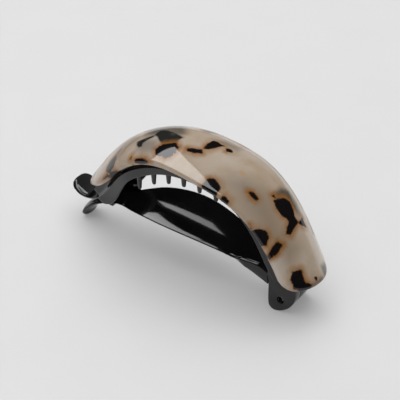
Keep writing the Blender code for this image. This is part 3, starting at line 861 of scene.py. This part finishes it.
# Sections of a tab along its middle: x, z, half its width and its thickness, in mm.
UPPER_TAB = (
    (-40.4, 18.7, 5.5, 2.5),
    (-41.1, 15.4, 5.6, 2.5),
    (-42.8, 12.5, 5.6, 2.4),
    (-46.6, 11.1, 5.4, 2.5),
    (-50.9, 11.5, 5.2, 2.5),
    (-54.6, 14.0, 5.0, 2.3),
)
LOWER_TAB = (
    (-35.0, 12.3, 4.1, 1.9),
    (-39.5, 10.8, 4.3, 2.1),
    (-43.6, 8.8, 4.6, 2.4),
    (-47.0, 6.2, 4.7, 2.7),
    (-49.3, 3.2, 4.7, 2.6),
    (-50.1, 0.2, 4.6, 2.3),
)
# The tip's roundness in plan, the radius of the edges, and how much each face falls toward them.
TAB_TIP_POWER = 2.6
TAB_ROUND = 1.0
TAB_CROWN = 0.8
TAB_CELLS = (56, 40)
TAB_SAMPLES = 400
TAB_SLOPE_STEP = 0.01


def tab_placer(table):
    """A place function for a tab whose tip is rounded in plan."""
    curve = curves_of(table, list(range(len(table))))
    last = len(table) - 1
    fine = np.linspace(0, last, TAB_SAMPLES)
    run = np.concatenate([[0.0], np.cumsum(np.hypot(np.diff(curve[0](fine)), np.diff(curve[1](fine))))])

    def place(share, side, level, grow, sink):
        tip_half = curve[2](last + 0.0 * side)
        back = tip_half * (1 - (1 - np.abs(side) ** TAB_TIP_POWER) ** (1 / TAB_TIP_POWER))
        length = run[-1] - back + grow
        s = np.interp(share * length, run, fine)
        dx = curve[0](s + TAB_SLOPE_STEP) - curve[0](s - TAB_SLOPE_STEP)
        dz = curve[1](s + TAB_SLOPE_STEP) - curve[1](s - TAB_SLOPE_STEP)
        scale = np.hypot(dx, dz)
        thickness = curve[3](s)
        up = (thickness * (0.5 - level) - sink) * np.sqrt(1 - TAB_CROWN * side ** 2)
        y = side * (curve[2](s) + grow)
        return to_world(curve[0](s) - up * dz / scale, y, curve[1](s) + up * dx / scale)

    return place


for name, table, body in (("upper_tab", UPPER_TAB, "upper"), ("lower_tab", LOWER_TAB, "lower")):
    tab_mesh = rounded_plate(name, TAB_CELLS, TAB_ROUND, tab_placer(table))
    finish_piece(name, tab_mesh, black, body)


# Lower arm
# The black arm that closes under the hair. It is one smooth moulding, dished along its length so
# that the hair lies in it, with a low wall on each side where it runs into the hinge.

# Sections of the arm: x, height of the rim, half the width, depth of the dish and height of the
# side walls, in mm.
ARM = (
    (-37.0, 12.2, 4.2, 0.0, 0.0),
    (-31.0, 14.4, 5.4, 0.3, 0.0),
    (-24.0, 16.7, 8.4, 0.9, 0.0),
    (-17.0, 18.1, 10.3, 1.3, 0.0),
    (-9.0, 18.7, 11.3, 1.4, 0.0),
    (-1.0, 18.4, 11.1, 1.4, 0.0),
    (8.0, 17.1, 9.7, 1.2, 0.0),
    (16.0, 15.4, 8.1, 1.0, 0.0),
    (23.0, 13.4, 7.1, 0.8, 1.6),
    (28.5, 11.3, 6.8, 0.5, 3.4),
    (31.0, 10.2, 6.7, 0.4, 3.4),
)
ARM_THICKNESS = 2.0
ARM_ROUND = 0.2
ARM_CELLS = (180, 60)
DISH_LIP = 0.25
# Under its rim the arm is cut back, and less so where it has walls, from one X to the other.
UNDERCUT = 2.8
WALL_UNDERCUT = 0.7
UNDERCUT_FADE = (14.0, 22.0)
# Shares of the half section at which the dish and the inner side of a wall end.
DISH_SHARE = 0.76
WALL_SHARE = 0.88
WALL_THICKNESS = 1.6
WALL_DRAFT = 0.96
# A wall this high has its full form, and a lower one runs out into the open dish.
FULL_WALL = 0.8

arm_rim, arm_half, arm_dish, arm_wall = curves_of(ARM)


def place_arm(share, side, level, grow, sink):
    """The arm's dish, blended from an open section to one with a wall on each side."""
    first = ARM[0][0] - grow
    last = ARM[-1][0] + grow
    x = first + share * (last - first)
    half = arm_half(x) + grow
    rim = arm_rim(x)
    dish = np.maximum(0.0, arm_dish(x))
    wall = np.maximum(0.0, arm_wall(x))
    size = np.abs(side)
    inner = arm_half(x) - WALL_THICKNESS
    in_dish = np.clip(size / DISH_SHARE, 0.0, 1.0)
    up_wall = np.clip((size - DISH_SHARE) / (WALL_SHARE - DISH_SHARE), 0.0, 1.0)
    on_top = np.clip((size - WALL_SHARE) / (1 - WALL_SHARE), 0.0, 1.0)
    eased = up_wall * up_wall * (3 - 2 * up_wall)
    y_walled = inner * (WALL_DRAFT * in_dish + (1 - WALL_DRAFT) * up_wall) + (half - inner) * on_top
    z_walled = rim - DISH_LIP - dish * (1 - in_dish ** 2) + (DISH_LIP + wall) * eased
    y_open = size * half
    z_open = rim - (dish + DISH_LIP) * (1 - size ** 2)
    walled = np.clip(wall / FULL_WALL, 0.0, 1.0)
    y_top = y_open + walled * (y_walled - y_open)
    z_top = z_open + walled * (z_walled - z_open)
    y_under = size * (half - np.interp(x, UNDERCUT_FADE, (UNDERCUT, WALL_UNDERCUT)))
    z_under = rim - ARM_THICKNESS - dish * (1 - size ** 2)
    y = y_top + level * (y_under - y_top)
    z = z_top + level * (z_under - z_top) - sink
    return to_world(x, np.sign(side) * y, z)


arm_mesh = rounded_plate("arm_dish", ARM_CELLS, ARM_ROUND, place_arm, MOULD_TURNS, MOULD_ROUND)
finish_piece("arm_dish", arm_mesh, black, "lower", ("lower_arm",))


# Catch and knuckle
# The upright catch that holds the clip shut behind the upper tab's root, the low wall that guides
# it, and the round knuckle that turns on the pin. All are moulded in one with the lower arm.

# The knuckle runs round the pin from one angle to the other, and then along the arm's end.
KNUCKLE_RADIUS = 3.9
KNUCKLE_TURN = (-150, 100)
KNUCKLE_STEPS = 32
KNUCKLE_STRAP = ((32.0, 11.4), (29.6, 11.3), (29.6, 9.2))
KNUCKLE_ROUND = 0.3
CATCH = ((-38.6, 9.4), (-38.6, 14.2), (-38.95, 15.0), (-38.4, 16.4), (-37.2, 16.4), (-36.9, 15.8),
         (-36.9, 9.4))
CATCH_HALF = 2.6
CATCH_ROUND = 0.25
GUIDE = ((-41.2, 10.0), (-41.2, 12.2), (-37.4, 15.0), (-36.6, 15.5), (-30.6, 17.8), (-30.0, 17.4),
         (-29.7, 13.6))
GUIDE_SPAN = (4.1, 5.2)
GUIDE_ROUND = 0.2

knuckle_outline = []
for turn in np.radians(np.linspace(*KNUCKLE_TURN, KNUCKLE_STEPS + 1)):
    knuckle_outline.append((PIN_X + KNUCKLE_RADIUS * math.cos(turn),
                            PIN_Z + KNUCKLE_RADIUS * math.sin(turn)))
knuckle_outline += KNUCKLE_STRAP
knuckle_half = EAR_OUTER - EAR_THICKNESS - GAP
joint_parts = bmesh.new()
flat_piece(joint_parts, knuckle_outline, -knuckle_half, knuckle_half, KNUCKLE_ROUND,
           (PIN_X, PIN_Z, PIN_HOLE))
flat_piece(joint_parts, CATCH, -CATCH_HALF, CATCH_HALF, CATCH_ROUND)
flat_piece(joint_parts, GUIDE, *GUIDE_SPAN, GUIDE_ROUND)
joint_mesh = mesh_from_mm("catch_and_knuckle", joint_parts)
finish_piece("catch_and_knuckle", joint_mesh, black, "lower")


# Hinge pin
# A plain steel pin through both ears and the knuckle. It is cut from drawn wire, its ends are
# chamfered, and it is pressed in so that they lie a little below the ears' faces.

PIN_RADIUS = 1.0
PIN_RECESS = 1.2
PIN_CHAMFER = 0.15
PIN_SIDES = 40

pin_length = 2 * (EAR_OUTER - PIN_RECESS) * MM
pin = bmesh.new()
bmesh.ops.create_cone(pin, cap_ends=True, segments=PIN_SIDES, radius1=PIN_RADIUS * MM,
                      radius2=PIN_RADIUS * MM, depth=pin_length,
                      matrix=Matrix.Rotation(math.pi / 2, 4, "X"))
pin_ends = [e for e in pin.edges if e.calc_face_angle(0.0) > RIM_ANGLE]
bmesh.ops.bevel(pin, geom=pin_ends, affect="EDGES", offset=PIN_CHAMFER * MM, segments=2, profile=0.5,
                material=-1)
bmesh.ops.translate(pin, verts=pin.verts, vec=((PIN_X - MIDDLE_X) * MM, 0, PIN_Z * MM))

STEEL_DARK = (0.52, 0.52, 0.53)
STEEL_PALE = (0.64, 0.64, 0.65)

steel, tree, shader = new_material("steel")
place = add_node(tree, "ShaderNodeTexCoord").outputs["Object"]
drawn = noise(tree, place, scale=900.0, detail=2.0)
tone = blend_colour(tree, ramp_down(tree, drawn, full=1.0, none=-1.0), STEEL_DARK, STEEL_PALE)
tree.links.new(tone, shader.inputs["Base Color"])
shader.inputs["Metallic"].default_value = 1.0
add_wear(tree, shader, place, roughness=0.28, smears=0.06, hairlines=0.2)
finish_piece("hinge_pin_rod", mesh_of("hinge_pin_rod", pin), steel, "upper", ("hinge_pin",))


# Table and light
# The clip stands on a plain pale table under a large soft lamp behind it and a veil of light from
# above, with soft boxes and a card that its polished faces mirror.

TABLE_HALF = 1.5
TABLE_DARK = (0.466, 0.466, 0.469)
TABLE_PALE = (0.474, 0.474, 0.477)

floor_bm = bmesh.new()
bmesh.ops.create_grid(floor_bm, x_segments=8, y_segments=8, size=TABLE_HALF)
floor_mesh = mesh_of("table_top", floor_bm)
floor = bpy.data.objects.new("table_top", floor_mesh)
bpy.context.collection.objects.link(floor)
paper, tree, shader = new_material("pale_table")
place = add_node(tree, "ShaderNodeTexCoord").outputs["Object"]
fibre = noise(tree, place, scale=40.0, detail=3.0)
tone = blend_colour(tree, ramp_down(tree, fibre, full=1.0, none=-1.0), TABLE_DARK, TABLE_PALE)
tree.links.new(tone, shader.inputs["Base Color"])
shader.inputs["Roughness"].default_value = 0.75
floor_mesh.materials.append(paper)
floor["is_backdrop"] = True


def area_light(name, place, aim, size, power, glossy=True, diffuse=True):
    """A soft lamp of the given sides in metres and power in watts."""
    lamp = bpy.data.lights.new(name, "AREA")
    lamp.shape = "RECTANGLE"
    lamp.size = size[0]
    lamp.size_y = size[1]
    lamp.energy = power
    item = bpy.data.objects.new(name, lamp)
    item.location = place
    item.rotation_euler = (Vector(aim) - Vector(place)).to_track_quat("-Z", "Y").to_euler()
    item.visible_glossy = glossy
    item.visible_diffuse = diffuse
    item.visible_camera = False
    bpy.context.collection.objects.link(item)
    return item


def shine_on(lamps, name, pieces, state="INCLUDE"):
    """Lets the lamps light only the given pieces, or all but them where state is EXCLUDE."""
    group = bpy.data.collections.new(name)
    for piece in pieces:
        group.objects.link(bpy.data.objects[piece])
    for entry in group.collection_objects:
        entry.light_linking.link_state = state
    for lamp in lamps:
        lamp.light_linking.receiver_collection = group


CLIP_PLACE = (0.0, 0.0, 0.0)

# The key hangs behind the clip on its left. The two veils soften the shade on the clip and the
# shadow on the table.
area_light("key_light", (-0.45, 0.6, 0.95), CLIP_PLACE, (1.2, 1.2), power=4.8, glossy=False)
veil = area_light("veil_light", (-0.1, 0.1, 1.5), CLIP_PLACE, (1.8, 1.8), power=11.0, glossy=False)
table_veil = area_light("table_veil", (0.0, 0.0, 1.5), CLIP_PLACE, (2.4, 2.4), power=26.0, glossy=False)
veil.data.use_shadow = False
table_veil.data.use_shadow = False
shine_on([table_veil], "table_only", ["table_top"])

# The room gives an even light from all sides that no polished face mirrors, and the picture shows
# the colours as they are mixed.
ROOM_LIGHT = 0.42

bpy.context.scene.view_settings.view_transform = "Standard"
world = bpy.data.worlds.new("studio")
bpy.context.scene.world = world
world.use_nodes = True
world.node_tree.nodes["Background"].inputs["Color"].default_value = (1, 1, 1, 1)
world.node_tree.nodes["Background"].inputs["Strength"].default_value = ROOM_LIGHT
world.cycles_visibility.glossy = False

# The soft boxes hang level over the clip. Each is laid out as if it hung one metre above the clip's
# top, and is then drawn in to the height at which it hangs.
BOX_HEIGHT = 0.55
CLIP_TOP = 0.045
# They are laid out round this place on the clip.
PATCH_MIDDLE = (-0.008, -0.006)


def flat_box(name, corner, run, sides, power):
    """A level soft box from one corner, the direction of its first side and its two sides."""
    run = Vector(run).normalized()
    rise = BOX_HEIGHT - CLIP_TOP
    middle = Vector(corner) + run * sides[0] / 2 + Vector((-run.y, run.x)) * sides[1] / 2
    middle = middle * rise + Vector(PATCH_MIDDLE)
    lamp = area_light(name, (middle.x, middle.y, BOX_HEIGHT), (middle.x, middle.y, 0.0),
                      (sides[0] * rise, sides[1] * rise), power, diffuse=False)
    lamp.rotation_euler = (0, 0, math.atan2(run.y, run.x))
    return lamp


# The cover mirrors the left box as a window. The arm's dish mirrors the bar, the thin line and the
# low card, and the upper tab a long box as its streak and a faint glow as its sheen.
left_box = flat_box("left_box", (-0.74, 0.36), (-0.66, -0.75), (1.0, 1.3), power=5.5)
bar_box = flat_box("bar_box", (-1.37, 1.21), (0.927, -0.375), (1.07, 0.215), power=0.53)
line_box = flat_box("line_box", (-0.70, 0.05), (1.0, -0.1), (0.32, 0.03), power=0.02)
low_card = area_light("low_card", (-0.446, 0.839, 0.16), (0.0, 0.0, 0.02), (0.318, 0.32), power=0.64,
                      diffuse=False)
tab_box = flat_box("tab_box", (-1.15, 0.10), (1.0, -0.06), (1.75, 0.20), power=1.5)
tab_glow = area_light("tab_glow", (0.0, 0.2, 0.6), CLIP_PLACE, (1.6, 1.6), power=2.2, diffuse=False)
shine_on([tab_box, tab_glow], "seen_in_the_tab", ["upper_tab"])
shine_on([bar_box, line_box, low_card], "seen_in_the_arm", ["arm_dish"])
shine_on([left_box], "not_seen_in_the_arm", ["arm_dish", "upper_tab"], state="EXCLUDE")


# Camera
# It looks down on the clip's near side from the hinge end, as the photo's does, through a long lens
# that keeps the arch's proportions. Places are in metres.

CAMERA_PLACE = Vector((0.19364, -0.26634, 0.25788))
CAMERA_AIM = Vector((0.00296, 0.0, 0.0257))
LENS = 108
SENSOR_WIDTH = 36
NEAREST_SEEN = 0.01

camera_data = bpy.data.cameras.new("photo_camera")
camera_data.lens = LENS
camera_data.sensor_width = SENSOR_WIDTH
camera_data.clip_start = NEAREST_SEEN
camera = bpy.data.objects.new("photo_camera", camera_data)
camera.location = CAMERA_PLACE
camera.rotation_euler = (CAMERA_AIM - CAMERA_PLACE).to_track_quat("-Z", "Y").to_euler()
bpy.context.collection.objects.link(camera)
bpy.context.scene.camera = camera

low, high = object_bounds()
